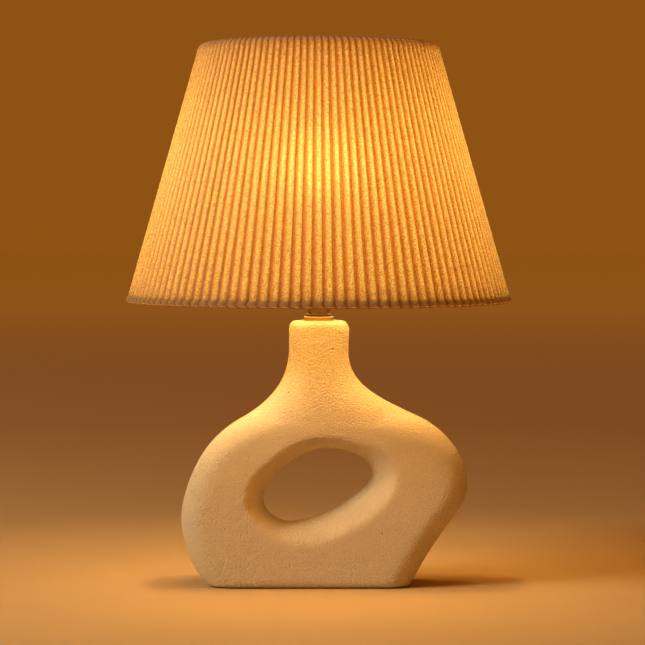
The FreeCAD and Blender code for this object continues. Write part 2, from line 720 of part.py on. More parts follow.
def socket_cap():
    bore = "rod_radius + rod_slack"
    inner = "cap_radius - cap_wall"
    return revolved("socket_cap", [
        (bore, "washer_top"), ("cap_neck_radius", "washer_top", "edge_break"),
        ("cap_waist_radius", "washer_top + cap_waist", "cap_round"),
        ("cap_radius", "washer_top + cap_shoulder", "cap_round"), ("cap_radius", "cap_top"),
        (inner, "cap_top"), (inner, "washer_top + cap_shoulder + cap_wall"),
        ("cap_waist_radius - cap_wall", "washer_top + cap_floor"), (bore, "washer_top + cap_floor")])


def socket_shell():
    inner = "shell_radius - shell_wall"
    bead = "shell_radius + bead_out"
    start = "shell_top - bead_drop"
    shell = revolved("socket_shell_tube", [
        (inner, "shell_low"), ("shell_radius", "shell_low"),
        ("shell_radius", start + " - bead_flat - bead_slope * 2"),
        (bead, start + " - bead_flat - bead_slope"), (bead, start + " - bead_slope"),
        ("shell_radius", start), ("shell_radius", "shell_top"), (inner, "shell_top")])
    return drilled("socket_shell", shell, "shaft_radius + shaft_hole_gap", "block_radius", "drill_run",
                   "shaft_height")


def insulating_sleeve():
    outer = "shell_radius - shell_wall - fit_gap / 2"
    inner = "shell_radius - shell_wall - fit_gap / 2 - liner_wall"
    top = "shell_top - liner_wall"
    sleeve = revolved("insulating_tube", [
        (inner, "shell_low"), (outer, "shell_low"), (outer, top), (inner, top)])
    return drilled("insulating_sleeve", sleeve, "shaft_radius + shaft_hole_gap",
                   "block_radius - block_bevel", "drill_run", "shaft_height")


def socket_block():
    """Moulded body with the switch inside; the shaft runs in its bore."""
    block = revolved("socket_block_turned", [
        (0, "block_low"), ("block_radius - block_bevel", "block_low"), ("block_radius", "shell_low"),
        ("block_radius", "block_top"), (0, "block_top")])
    return drilled("socket_block", block, "shaft_radius + shaft_fit", "shaft_inner - shaft_end_gap",
                   "block_radius", "shaft_height")


def thread_shell():
    outer = "thread_shell_radius"
    inner = "thread_shell_radius - thread_shell_wall"
    top = "block_top + thread_shell_height"
    hole = "contact_radius + contact_island"
    floor = "block_top + thread_shell_wall"
    return revolved("thread_shell", [(hole, "block_top"), (outer, "block_top"), (outer, top),
                                     (inner, top), (inner, floor), (hole, floor)])


def centre_contact():
    contact = cylinder("centre_contact", "contact_radius", "contact_thick")
    set_place(contact, z="block_top")
    return contact


def terminal_screws():
    """Two screw heads on the underside of the moulded body."""
    heads = []
    for side, x in (("left", "-screw_offset"), ("right", "screw_offset")):
        head = cylinder("terminal_screw_" + side, "screw_radius", "screw_head")
        set_place(head, x=x, z="block_low - screw_head")
        heads.append(head)
    return combined("Part::MultiFuse", "terminal_screws", *heads)


def switch_shaft():
    shaft = cylinder("switch_shaft", "shaft_radius", "shaft_length")
    turned_to(shaft, Vector(1, 0, 0), 90)
    set_place(shaft, y="-shaft_inner", z="shaft_height")
    return shaft


def switch_knob():
    """Fluted turn knob pressed on the end of the shaft."""
    turned = revolved("switch_knob_turned", [
        (0, 0), ("knob_radius - knob_taper", 0), ("knob_radius", "knob_collar", "edge_break"),
        ("knob_radius", "knob_length", "knob_round"), (0, "knob_length")])
    turned_to(turned, Vector(1, 0, 0), 90)
    set_place(turned, y="-knob_start", z="shaft_height")
    bore = cylinder("switch_knob_bore", "shaft_radius", "shaft_length + shaft_inner - knob_start")
    turned_to(bore, Vector(1, 0, 0), 90)
    set_place(bore, y="-knob_start", z="shaft_height")
    flutes = []
    count = 10
    for i in range(count):
        turn = 2 * math.pi * i / count
        flute = cylinder(f"switch_knob_flute_{i}", "flute_radius", "knob_length")
        turned_to(flute, Vector(1, 0, 0), 90)
        set_place(flute, x=f"(knob_radius + flute_shift) * {math.cos(turn):.6f}",
                  y="-(knob_start + flute_start)",
                  z=f"shaft_height + (knob_radius + flute_shift) * {math.sin(turn):.6f}")
        flutes.append(flute)
    cuts = combined("Part::MultiFuse", "switch_knob_cuts", bore, *flutes)
    return combined("Part::Cut", "switch_knob", turned, cuts)


# ------------------------------------------------------------------------ bulb

def bulb_glass():
    """Blown envelope, open at its neck where the screw base holds it."""
    neck = "bulb_base_radius - glass_tuck"
    throat = "bulb_base_radius + throat_out"
    throat_at = "bulb_base_top + throat_height"
    waist_at = "bulb_middle - waist_drop"
    return revolved("bulb_glass", [
        (neck, "bulb_base_top - glass_depth"), (throat, throat_at, "throat_round"),
        ("bulb_radius", waist_at, "waist_round"), ("bulb_radius", "bulb_top", "bulb_radius - bulb_pole"),
        (0, "bulb_top"), (0, "bulb_top - bulb_wall"),
        ("bulb_radius - bulb_wall", "bulb_top - bulb_wall", "bulb_radius - bulb_wall - bulb_pole"),
        ("bulb_radius - bulb_wall", waist_at, "waist_round - bulb_wall"),
        (throat + " - bulb_wall", throat_at, "throat_round + bulb_wall"),
        (neck + " - bulb_wall", "bulb_base_top - glass_depth")])


def bulb_base():
    """Threaded cap; its thread is shown as five ridges."""
    outer = "bulb_base_radius"
    root = "bulb_base_radius - thread_deep"
    seat = "bulb_base_radius - base_rim_thick"
    side = "bulb_base_radius - base_side_thick"
    floor = "bulb_base_low + base_end_thick"
    ledge = "bulb_base_top - glass_depth - press_gap"
    ridges = 5
    corners = [("base_eye", "bulb_base_low"), ("bulb_base_radius - base_end_inset", "bulb_base_low")]
    for i in range(ridges):
        low = f"bulb_base_low + thread_start + thread_pitch * {i}"
        corners += [(root, low), (outer, low + " + thread_pitch / 2")]
    end = f"bulb_base_low + thread_start + thread_pitch * {ridges}"
    corners += [(root, end), (outer, end + " + thread_pitch / 3"),
                (outer, "bulb_base_top"), (seat, "bulb_base_top"), (seat, ledge),
                (side, ledge), (side, floor), ("base_eye", floor)]
    return revolved("bulb_base", corners)


def bulb_insulator():
    inner = "contact_radius - tip_inset + press_gap"
    return revolved("bulb_insulator", [
        (inner, "bulb_low + tip_step"), ("base_eye", "bulb_low + tip_step"),
        ("bulb_base_radius - insulator_inset", "bulb_base_low"), (inner, "bulb_base_low")])


def bulb_contact():
    tip = cylinder("bulb_contact", "contact_radius - tip_inset", "bulb_tip")
    set_place(tip, z="bulb_low")
    return tip


def bulb_stem():
    """Glass pillar and its two discs that carry the filaments."""
    disc = "filament_circle + filament_radius"
    foot = "bulb_base_low + base_end_thick"
    shelf = "stem_low + disc_thick"
    roof = "stem_top - disc_thick / 2"
    return revolved("bulb_stem", [
        (0, foot), ("stem_foot_radius", foot), ("stem_foot_radius", "stem_low - stem_cone"),
        (disc, "stem_low"), (disc, shelf), ("stem_radius", shelf), ("stem_radius", roof), (disc, roof),
        (disc, "stem_top + disc_thick / 2"), (0, "stem_top + disc_thick * 1.5")])


def bulb_filaments():
    """Four upright filaments between the stem's discs."""
    rods = []
    count = 4
    for i in range(count):
        turn = 2 * math.pi * (i + 0.5) / count
        rod = cylinder(f"filament_{i}", "filament_radius", "stem_top - stem_low - disc_thick * 1.5")
        set_place(rod, x=f"filament_circle * {math.cos(turn):.6f}",
                  y=f"filament_circle * {math.sin(turn):.6f}", z="stem_low + disc_thick")
        rods.append(rod)
    return combined("Part::MultiFuse", "bulb_filaments", *rods)


# ----------------------------------------------------------------------- shade

def cone_at(height, inset):
    """Radius of the shade's slanted side at a height, less an inset."""
    return f"shade_top_radius + shade_slope * (shade_top - ({height})) - ({inset})"


def shade_cover():
    """Ribbed cover as one skin, turned in over the top ring and under the bottom ring."""
    low_in = "shade_bottom + lip_thick"
    high_in = "shade_top - lip_thick"
    inset = "cover_thick"
    return revolved("shade_cover", [
        (cone_at("shade_bottom", "0"), "shade_bottom", "hem_round"),
        ("shade_top_radius", "shade_top", "cover_round"),
        (cone_at("shade_top", "cover_thick + lip_top"), "shade_top"),
        (cone_at("shade_top", "cover_thick + lip_top"), high_in),
        (cone_at(high_in, inset), high_in), (cone_at(low_in, inset), low_in),
        (cone_at("shade_bottom", "cover_thick + lip_low"), low_in),
        (cone_at("shade_bottom", "cover_thick + lip_low"), "shade_bottom")])


def cone_band(label, low, high, inset, thick):
    inner = f"({inset}) + {thick}"
    return revolved(label, [(cone_at(low, inset), low), (cone_at(high, inset), high),
                            (cone_at(high, inner), high), (cone_at(low, inner), low)])


def shade_liner():
    return cone_band("shade_liner", "shade_bottom + lip_thick + liner_short",
                     "shade_top - lip_thick - liner_short", "cover_thick + liner_gap", "shade_liner")


def top_tape():
    high = "ring_high - ring_radius - tape_gap"
    return cone_band("top_tape", high + " - tape_width", high, "liner_inset + liner_gap", "tape_thick")


def bottom_tape():
    low = "ring_low + ring_radius + tape_gap"
    return cone_band("bottom_tape", low, low + " + tape_width", "liner_inset + liner_gap", "tape_thick")


def steel_ring(label, radius, height):
    ring = doc.addObject("Part::Torus", label)
    set_sizes(ring, Radius1=radius, Radius2="ring_radius")
    set_place(ring, z=height)
    return ring


def shade_spider():
    """Washer on the harp with three arms that rise to the top ring."""
    bore = "stud_radius + stud_slack"
    hub = revolved("spider_hub", [(bore, "hub_low"), ("hub_radius", "hub_low"),
                                  ("hub_radius", "hub_top"), (bore, "hub_top")])
    level = "hub_low + arm_radius"
    out = "ring_top_radius - ring_radius - arm_radius"
    arms = []
    for i in range(3):
        turn = 90 + 120 * i
        corners = [("arm_start", level), (out + " - arm_lean", level, "arm_bend"), (out, "ring_high")]
        arms.append(wire_sweep(f"spider_arm_{i}", corners, ("arm_start", level), "arm_radius", turn))
    return combined("Part::MultiFuse", "shade_spider", hub, *arms)


def finial():
    """Turned brass knob screwed on the stud."""
    bore = "stud_radius + finial_fit"
    low = "finial_low"
    top = "finial_low + finial_height"
    roof = "seat_top + stud_height + hub_gap"
    step = low + " + finial_step"
    return revolved("finial", [
        (bore, low), ("finial_foot", low), ("finial_foot", step, "edge_break"),
        ("finial_waist", step + " * 2"), ("finial_waist", step + " * 3", "edge_break"),
        ("finial_ball", step + " * 5", "finial_round"),
        ("finial_ball", top + " - finial_round", "finial_round"),
        ("finial_tip", top, "finial_round / 2"), (0, top), (0, roof), (bore, roof)])


def build():
    fill_sheet()
    return [
        ceramic_base(), felt_pad(), inlet_grommet(), toggle_bar(),
        hexagon_nut("rod_nut", "toggle_low - nut_thick"), threaded_rod(), check_ring(), brass_neck(),
        harp_saddle(), lock_washer(), socket_cap(), socket_shell(), insulating_sleeve(), socket_block(),
        thread_shell(), centre_contact(), terminal_screws(), switch_shaft(), switch_knob(),
        bulb_glass(), bulb_base(), bulb_insulator(), bulb_contact(), bulb_stem(), bulb_filaments(),
        harp(), harp_seat(), harp_sleeve("left", "-leg_offset"), harp_sleeve("right", "leg_offset"),
        shade_cover(), shade_liner(), top_tape(), bottom_tape(),
        steel_ring("top_ring", "ring_top_radius", "ring_high"),
        steel_ring("bottom_ring", "ring_low_radius", "ring_low"), shade_spider(), finial(),
    ]


def check(pieces):
    for thing in doc.Objects:
        if any(word in thing.State for word in ("Invalid", "Error")):
            raise RuntimeError(f"{thing.Label} failed: {thing.State}")
    for piece in pieces:
        if piece.Shape.isNull() or not piece.Shape.isValid():
            raise RuntimeError(f"{piece.Label} has no valid shape")


pieces = build()
doc.recompute()
check(pieces)
os.makedirs("parts", exist_ok=True)
for piece in pieces:
    piece.Shape.exportStep(f"parts/{piece.Label}.step")
    print(f"{piece.Label:18} {piece.Shape.Volume / 1000:9.2f} cm3  solids {len(piece.Shape.Solids)}")
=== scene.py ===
import bpy
import json
import math
import random
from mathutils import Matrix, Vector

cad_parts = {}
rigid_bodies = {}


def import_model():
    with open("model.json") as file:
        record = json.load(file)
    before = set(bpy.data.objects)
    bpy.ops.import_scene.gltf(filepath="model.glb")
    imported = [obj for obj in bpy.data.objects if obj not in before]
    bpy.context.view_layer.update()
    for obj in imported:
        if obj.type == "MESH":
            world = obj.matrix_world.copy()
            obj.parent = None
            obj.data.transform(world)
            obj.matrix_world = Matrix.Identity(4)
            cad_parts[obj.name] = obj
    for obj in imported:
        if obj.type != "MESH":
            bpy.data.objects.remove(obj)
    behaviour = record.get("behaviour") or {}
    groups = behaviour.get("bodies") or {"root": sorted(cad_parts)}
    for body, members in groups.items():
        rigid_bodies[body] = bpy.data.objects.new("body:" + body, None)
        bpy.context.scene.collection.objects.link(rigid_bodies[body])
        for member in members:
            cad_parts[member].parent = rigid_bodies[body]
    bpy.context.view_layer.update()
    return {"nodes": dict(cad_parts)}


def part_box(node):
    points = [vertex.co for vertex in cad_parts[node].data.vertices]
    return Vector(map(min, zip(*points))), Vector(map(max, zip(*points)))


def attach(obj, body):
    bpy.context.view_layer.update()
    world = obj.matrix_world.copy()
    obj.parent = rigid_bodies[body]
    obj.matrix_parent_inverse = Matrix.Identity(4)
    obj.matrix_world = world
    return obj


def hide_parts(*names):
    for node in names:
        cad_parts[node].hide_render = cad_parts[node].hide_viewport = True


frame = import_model()
print("frame loaded:", len(frame["nodes"]), "CAD nodes")


def deselectAll():
    for obj in bpy.context.selected_objects:
        obj.select_set(False)


def pick(obj):
    deselectAll()
    obj.select_set(True)
    bpy.context.view_layer.objects.active = obj


def applyModifier(obj, kind, **settings):
    pick(obj)
    mod = obj.modifiers.new(kind.lower(), kind)
    for key, value in settings.items():
        setattr(mod, key, value)
    bpy.ops.object.modifier_apply(modifier=mod.name)


def node(tree, kind, **inputs):
    made = tree.nodes.new("ShaderNode" + kind)
    for key, value in inputs.items():
        made.inputs[key.replace("_", " ")].default_value = value
    return made


def newMaterial(name):
    mat = bpy.data.materials.new(name)
    mat.use_nodes = True
    tree = mat.node_tree
    shader = tree.nodes["Principled BSDF"]
    where = tree.nodes.new("ShaderNodeTexCoord").outputs["Object"]
    return mat, tree, shader, where


def noise(tree, where, scale, detail=3.0, roughness=0.5):
    tex = node(tree, "TexNoise", Scale=scale, Detail=detail, Roughness=roughness)
    tree.links.new(where, tex.inputs["Vector"])
    return tex.outputs["Fac"]


# Stops are (place, colour), or (place, grey level)
def ramp(tree, factor, stops):
    made = tree.nodes.new("ShaderNodeValToRGB")
    elements = made.color_ramp.elements
    while len(elements) < len(stops):
        elements.new(0.5)
    for element, (place, colour) in zip(elements, stops):
        element.position = place
        element.color = (*colour, 1) if isinstance(colour, tuple) else (colour, colour, colour, 1)
    tree.links.new(factor, made.inputs["Fac"])
    return made.outputs["Color"]


def maths(tree, operation, a, b=0.5):
    made = tree.nodes.new("ShaderNodeMath")
    made.operation = operation
    for socket, value in zip(made.inputs, (a, b)):
        if isinstance(value, (int, float)):
            socket.default_value = value
        else:
            tree.links.new(value, socket)
    return made.outputs[0]


def bump(tree, height, strength, distance, after=None):
    made = node(tree, "Bump", Strength=strength, Distance=distance)
    tree.links.new(height, made.inputs["Height"])
    if after is not None:
        tree.links.new(after, made.inputs["Normal"])
    return made.outputs["Normal"]


def mixColours(tree, factor, a, b):
    made = tree.nodes.new("ShaderNodeMix")
    made.data_type = "RGBA"
    for socket, value in ((made.inputs["Factor"], factor), (made.inputs["A"], a), (made.inputs["B"], b)):
        if isinstance(value, tuple):
            socket.default_value = (*value, 1)
        elif isinstance(value, (int, float)):
            socket.default_value = value
        else:
            tree.links.new(value, socket)
    return made.outputs["Result"]


def blended(tree, how, factor, a, b):
    made = tree.nodes.new("ShaderNodeMix")
    made.data_type = "RGBA"
    made.blend_type = how
    made.inputs["Factor"].default_value = factor
    tree.links.new(a, made.inputs["A"])
    tree.links.new(b, made.inputs["B"])
    return made.outputs["Result"]


def wear(obj, mat):
    if not obj.data.materials:
        obj.data.materials.append(mat)
    for slot in obj.material_slots:
        slot.link = "OBJECT"
        slot.material = mat


# A merged copy of a CAD node's mesh, ready to be worked on
def solidCopy(name, source):
    mesh = frame["nodes"][source].data.copy()
    obj = bpy.data.objects.new(name, mesh)
    bpy.context.scene.collection.objects.link(obj)
    obj.data.materials.clear()
    pick(obj)
    bpy.ops.object.mode_set(mode="EDIT")
    bpy.ops.mesh.select_all(action="SELECT")
    bpy.ops.mesh.remove_doubles(threshold=0.00001)
    bpy.ops.object.mode_set(mode="OBJECT")
    return obj


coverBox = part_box("shade_cover")
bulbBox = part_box("bulb_glass")
bulbRadius = (bulbBox[1][0] - bulbBox[0][0]) / 2
bulbMiddle = bulbBox[1][2] - bulbRadius
print("bulb's middle at", round(bulbMiddle, 4))


ceramic = {
    "voxel": 0.00178,             # size of the body's faces
    "softening": 16,
    "footBand": 0.006,            # the foot keeps its edge below this height
    "footDrop": 0.0011,
    "rimSoftening": 0.35,         # share of the softening that the top of the neck gets
    "neckSoftening": 22,
    "neckSlim": 0.030,
    "neckSlimReach": 0.040,
    "shoulderHeight": 0.152,
    "shoulderSpread": 0.026,
    "shoulderStart": 0.022,
    "leftShoulderDrop": 0.0022,
    "rightShoulderDrop": 0.0012,
    "bodyColour": (0.81, 0.69, 0.46),
    "paleColour": (0.85, 0.75, 0.53),
    "pitColour": (0.40, 0.27, 0.15),
    "grainScale": 900,
    "grainRelief": 0.0009,
    "peelScale": 660,
    "peelRelief": 0.0025,
    "pitScale": 80.0,
    "pitSize": 0.07,
    "roughness": 0.82,
}


def sandyCeramic():
    mat, tree, shader, where = newMaterial("sandyCeramic")
    broad = noise(tree, where, 9, 2)
    tone = mixColours(tree, broad, ceramic["bodyColour"], ceramic["paleColour"])
    fine = noise(tree, where, ceramic["grainScale"], 4, 0.7)
    speck = ramp(tree, fine, [(0.34, (0.84, 0.82, 0.80)), (0.54, (1, 1, 1))])
    sandy = blended(tree, "MULTIPLY", 0.75, tone, speck)
    pits = node(tree, "TexVoronoi", Scale=ceramic["pitScale"], Randomness=1.0)
    tree.links.new(where, pits.inputs["Vector"])
    rare = noise(tree, where, 55, 1)
    deep = maths(tree, "MULTIPLY", maths(tree, "LESS_THAN", pits.outputs["Distance"], ceramic["pitSize"]),
                 maths(tree, "GREATER_THAN", rare, 0.60))
    tree.links.new(mixColours(tree, deep, sandy, ceramic["pitColour"]),
                   shader.inputs["Base Color"])
    peel = noise(tree, where, ceramic["peelScale"], 2, 0.5)
    first = bump(tree, peel, 1.0, ceramic["peelRelief"])
    second = bump(tree, fine, 1.0, ceramic["grainRelief"], first)
    third = bump(tree, maths(tree, "SUBTRACT", 1.0, deep), 0.5, 0.0006, second)
    tree.links.new(third, shader.inputs["Normal"])
    shader.inputs["Roughness"].default_value = ceramic["roughness"]
    shader.inputs["Specular IOR Level"].default_value = 0.25
    return mat


def makeCeramicBody():
    body = solidCopy("ceramicBody", "ceramic_base")
    body.data.remesh_voxel_size = ceramic["voxel"]
    body.data.remesh_voxel_adaptivity = 0
    bpy.ops.object.voxel_remesh()
    aboveFoot = body.vertex_groups.new(name="aboveFoot")
    shoulder = body.vertex_groups.new(name="shoulder")
    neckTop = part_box("ceramic_base")[1][2]
    for vert in body.data.vertices:
        rim = min(1, max(ceramic["rimSoftening"], (neckTop - 0.004 - vert.co.z) / 0.006))
        foot = max(0.12, (vert.co.z - ceramic["footBand"]) / 0.012)
        aboveFoot.add([vert.index], min(rim, foot), "REPLACE")
    applyModifier(body, "SMOOTH", factor=0.5, iterations=ceramic["softening"], vertex_group="aboveFoot")
    for vert in body.data.vertices:
        below = neckTop - vert.co.z
        weight = min(1, max(0, (below - 0.012) / 0.02)) * min(1, max(0, (0.115 - below) / 0.02))
        if weight > 0:
            shoulder.add([vert.index], weight, "REPLACE")
    applyModifier(body, "SMOOTH", factor=0.5, iterations=ceramic["neckSoftening"], vertex_group="shoulder")
    for vert in body.data.vertices:
        bell = math.exp(-((vert.co.z - ceramic["shoulderHeight"]) / ceramic["shoulderSpread"]) ** 2)
        left = min(1, max(0, (-vert.co.x - ceramic["shoulderStart"]) / 0.03)) * ceramic["leftShoulderDrop"]
        right = min(1, max(0, (vert.co.x - ceramic["shoulderStart"]) / 0.03)) * ceramic["rightShoulderDrop"]
        foot = ceramic["footDrop"] * max(0, 1 - vert.co.z / ceramic["footBand"])
        vert.co.z -= bell * (left + right) + foot
        upNeck = min(1, max(0, (vert.co.z - neckTop + ceramic["neckSlimReach"]) / 0.025))
        slim = 1 - ceramic["neckSlim"] * upNeck
        vert.co.x *= slim
        vert.co.y *= slim
    body.vertex_groups.clear()
    pick(body)
    bpy.ops.object.shade_smooth()
    wear(body, sandyCeramic())
    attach(body, "base")
    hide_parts("ceramic_base")
    print("ceramic body:", len(body.data.polygons), "faces")


cover = {
    "lowRadius": 0.1730,
    "topRadius": 0.1065,
    "ribs": 114,
    "pointsPerRib": 12,
    "sideRows": 22,
    "ribDepth": 0.0031,
    "ribRoundness": 0.80,         # below 1 the crests are broad and the grooves narrow
    "lean": 0.04,                 # how far a crest leans over to one side
    "unevenDepth": 0.10,
    "unevenPlace": 0.035,
    "cloth": 0.0007,
    "roll": 0.0100,               # radius of the rolled top edge
    "flatLength": 1.30,
    "flatHeight": 0.27,
    "napScale": 780,
    "napRelief": 0.0008,
    "forwardShare": 0.048,
    "forwardSpread": 0.72,
    # surface colour by height: the cloth's own tone, with painted shade bands above the hem and at the top
    # roll
    "surfaceWithPaintedShade": [(0.0, (0.86, 0.64, 0.38)), (0.004, (0.86, 0.64, 0.38)), (0.007, (0.50, 0.33, 0.17)),
                     (0.022, (0.58, 0.40, 0.21)), (0.040, (0.86, 0.64, 0.38)), (0.965, (0.86, 0.64, 0.38)),
                     (0.985, (0.62, 0.43, 0.24)), (1.0, (0.46, 0.30, 0.16))],
    # glow across one rib: darker in the groove (painted shade), bright over the crest, dimmer over the
    # doubled side
    "throughWithGrooveShade": [(0.0, (0.58, 0.24, 0.040)), (0.09, (0.60, 0.27, 0.050)), (0.26, (0.78, 0.50, 0.15)),
                     (0.38, (0.86, 0.69, 0.31)), (0.76, (0.88, 0.72, 0.34)), (0.84, (0.72, 0.47, 0.19)),
                     (0.94, (0.62, 0.35, 0.12)), (1.0, (0.58, 0.24, 0.040))],
    # how much of the dark surface shows by height, which brings in the painted shade bands above the hem
    # and at the top roll
    "paintedShadeBandShare": [(0.0, 0.1), (0.004, 0.1), (0.007, 0.66), (0.022, 0.62),
                  (0.034, 0), (0.965, 0), (0.985, 0.6), (1.0, 0.7)],
    "mattStops": [(0.0, 0.24), (0.28, 0.20), (0.40, 0.18), (0.74, 0.22),
                  (0.81, 0.60), (0.93, 0.64), (1.0, 0.24)],
    # painted light on the glow by height: a lit line at the hem's edge, a painted shadow band of the bottom
    # ring above it, brightest low down and dimming towards the top, then painted shadow at the top roll
    "paintedLightByHeight": [(0.0, (0.86, 0.66, 0.42)), (0.0035, (0.86, 0.66, 0.42)), (0.006, (0.28, 0.22, 0.17)),
                    (0.022, (0.38, 0.31, 0.25)), (0.032, (0.96, 0.91, 0.80)), (0.10, (1.0, 0.99, 0.90)),
                    (0.40, (0.80, 0.78, 0.78)), (0.75, (0.66, 0.64, 0.59)), (0.96, (0.60, 0.53, 0.44)),
                    (0.982, (0.32, 0.23, 0.16)), (1.0, (0.24, 0.16, 0.10))],
}


# How far inside the crest the cloth lies, 0 to 1, across one rib
def ribSection(phase):
    return 1 - abs(math.sin(math.pi * phase)) ** cover["ribRoundness"]


# (radius, height, rib strength) from the hem inside, round the edge, up and over the top
def coverProfile():
    low, high = coverBox[0][2], coverBox[1][2]
    slope = (cover["lowRadius"] - cover["topRadius"]) / (high - low)

    def side(z):
        return cover["topRadius"] + slope * (high - z)

    rows = [(side(low) - 0.0062, low + 0.0042, 0.2), (side(low) - 0.0052, low + 0.0010, 0.2),
            (side(low) - 0.0030, low, 0.25), (side(low) - 0.0012, low + 0.0006, 0.3),
            (side(low) - 0.0004, low + 0.0018, 0.35), (side(low), low + 0.0040, 0.55)]
    start, stop = low + 0.0065, high - cover["roll"]
    for i in range(cover["sideRows"]):
        z = start + (stop - start) * i / (cover["sideRows"] - 1)
        rows.append((side(z), z, 1.0))
    roll = cover["roll"]
    for i in range(1, 6):
        turn = math.radians(i * 18 - 8)
        rows.append((side(stop) - roll * (1 - math.cos(turn)), stop + (roll - 0.0004) * math.sin(turn),
                     1.0 - 0.11 * i))
    rows += [(side(high) - 0.0112, high - 0.0006, 0.35), (side(high) - 0.0122, high - 0.0042, 0.2)]
    return rows


def makeCover():
    rows = coverProfile()
    around = cover["ribs"] * cover["pointsPerRib"]
    deselectAll()
    bpy.ops.mesh.primitive_cylinder_add(vertices=around, radius=1, depth=1, end_fill_type="NOTHING")
    obj = bpy.context.object
    obj.name = "ribbedCover"
    bpy.ops.object.mode_set(mode="EDIT")
    bpy.ops.mesh.select_mode(type="EDGE")
    bpy.ops.mesh.select_all(action="DESELECT")
    bpy.ops.object.mode_set(mode="OBJECT")
    mesh = obj.data
    for edge in mesh.edges:
        a, b = (mesh.vertices[i].co for i in edge.vertices)
        edge.select = abs(a.z - b.z) > 0.5
    bpy.ops.object.mode_set(mode="EDIT")
    bpy.ops.mesh.subdivide(number_cuts=len(rows) - 2)
    bpy.ops.object.mode_set(mode="OBJECT")
    rng = random.Random(7)
    depths = [1 + rng.uniform(-cover["unevenDepth"], cover["unevenDepth"]) for _ in range(cover["ribs"])]
    shifts = [rng.uniform(-cover["unevenPlace"], cover["unevenPlace"]) for _ in range(cover["ribs"])]
    waves = [(rng.uniform(0, 6.3), rng.uniform(0.7, 1.6)) for _ in range(cover["ribs"])]
    ribPhase, rowOf = {}, {}
    for vert in mesh.vertices:
        row = round((vert.co.z + 0.5) * (len(rows) - 1))
        step = round(math.atan2(vert.co.y, vert.co.x) / (2 * math.pi) * around) % around
        rib, k = divmod(step, cover["pointsPerRib"])
        phase = k / cover["pointsPerRib"]
        radius, height, strength = rows[row]
        swell = math.sin(math.pi * phase)
        start, pace = waves[rib]
        wander = 0.025 * math.sin(start + pace * row * 0.35)
        turn = (rib + phase + swell * (cover["lean"] + shifts[rib] + wander)) / cover["ribs"] * 2 * math.pi
        deep = cover["ribDepth"] * strength * depths[rib] * (0.8 + 0.35 * radius / cover["lowRadius"])
        far = radius - deep * ribSection(phase)
        vert.co = (far * math.cos(turn), far * math.sin(turn), height)
        ribPhase[vert.index] = step / cover["pointsPerRib"]
        rowOf[vert.index] = row / (len(rows) - 1)
    uv = mesh.uv_layers.active or mesh.uv_layers.new(name="ribs")
    for poly in mesh.polygons:
        turns = [ribPhase[mesh.loops[i].vertex_index] for i in poly.loop_indices]
        wraps = max(turns) - min(turns) > 2
        for i, turn in zip(poly.loop_indices, turns):
            across = turn + cover["ribs"] if wraps and turn < 1 else turn
            uv.data[i].uv = (across, rowOf[mesh.loops[i].vertex_index])
    pick(obj)
    bpy.ops.object.mode_set(mode="EDIT")
    bpy.ops.mesh.select_all(action="SELECT")
    bpy.ops.mesh.normals_make_consistent(inside=False)
    bpy.ops.object.mode_set(mode="OBJECT")
    mesh.materials.append(ribCloth())
    mesh.materials.append(letsLampLightThrough("coverBack", (0.80, 0.55, 0.28)))
    last = 1 - 2.5 / (len(rows) - 1)
    first = 2.5 / (len(rows) - 1)
    for poly in mesh.polygons:
        heights = [rowOf[i] for i in poly.vertices]
        poly.material_index = int(min(heights) > last or max(heights) < first)
    applyModifier(obj, "SOLIDIFY", thickness=cover["cloth"], offset=-1, material_offset=1,
                  material_offset_rim=1)
    bpy.ops.object.shade_smooth()
    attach(obj, "shade")
    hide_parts("shade_cover")
    print("ribbed cover:", len(mesh.polygons), "faces")
    return obj


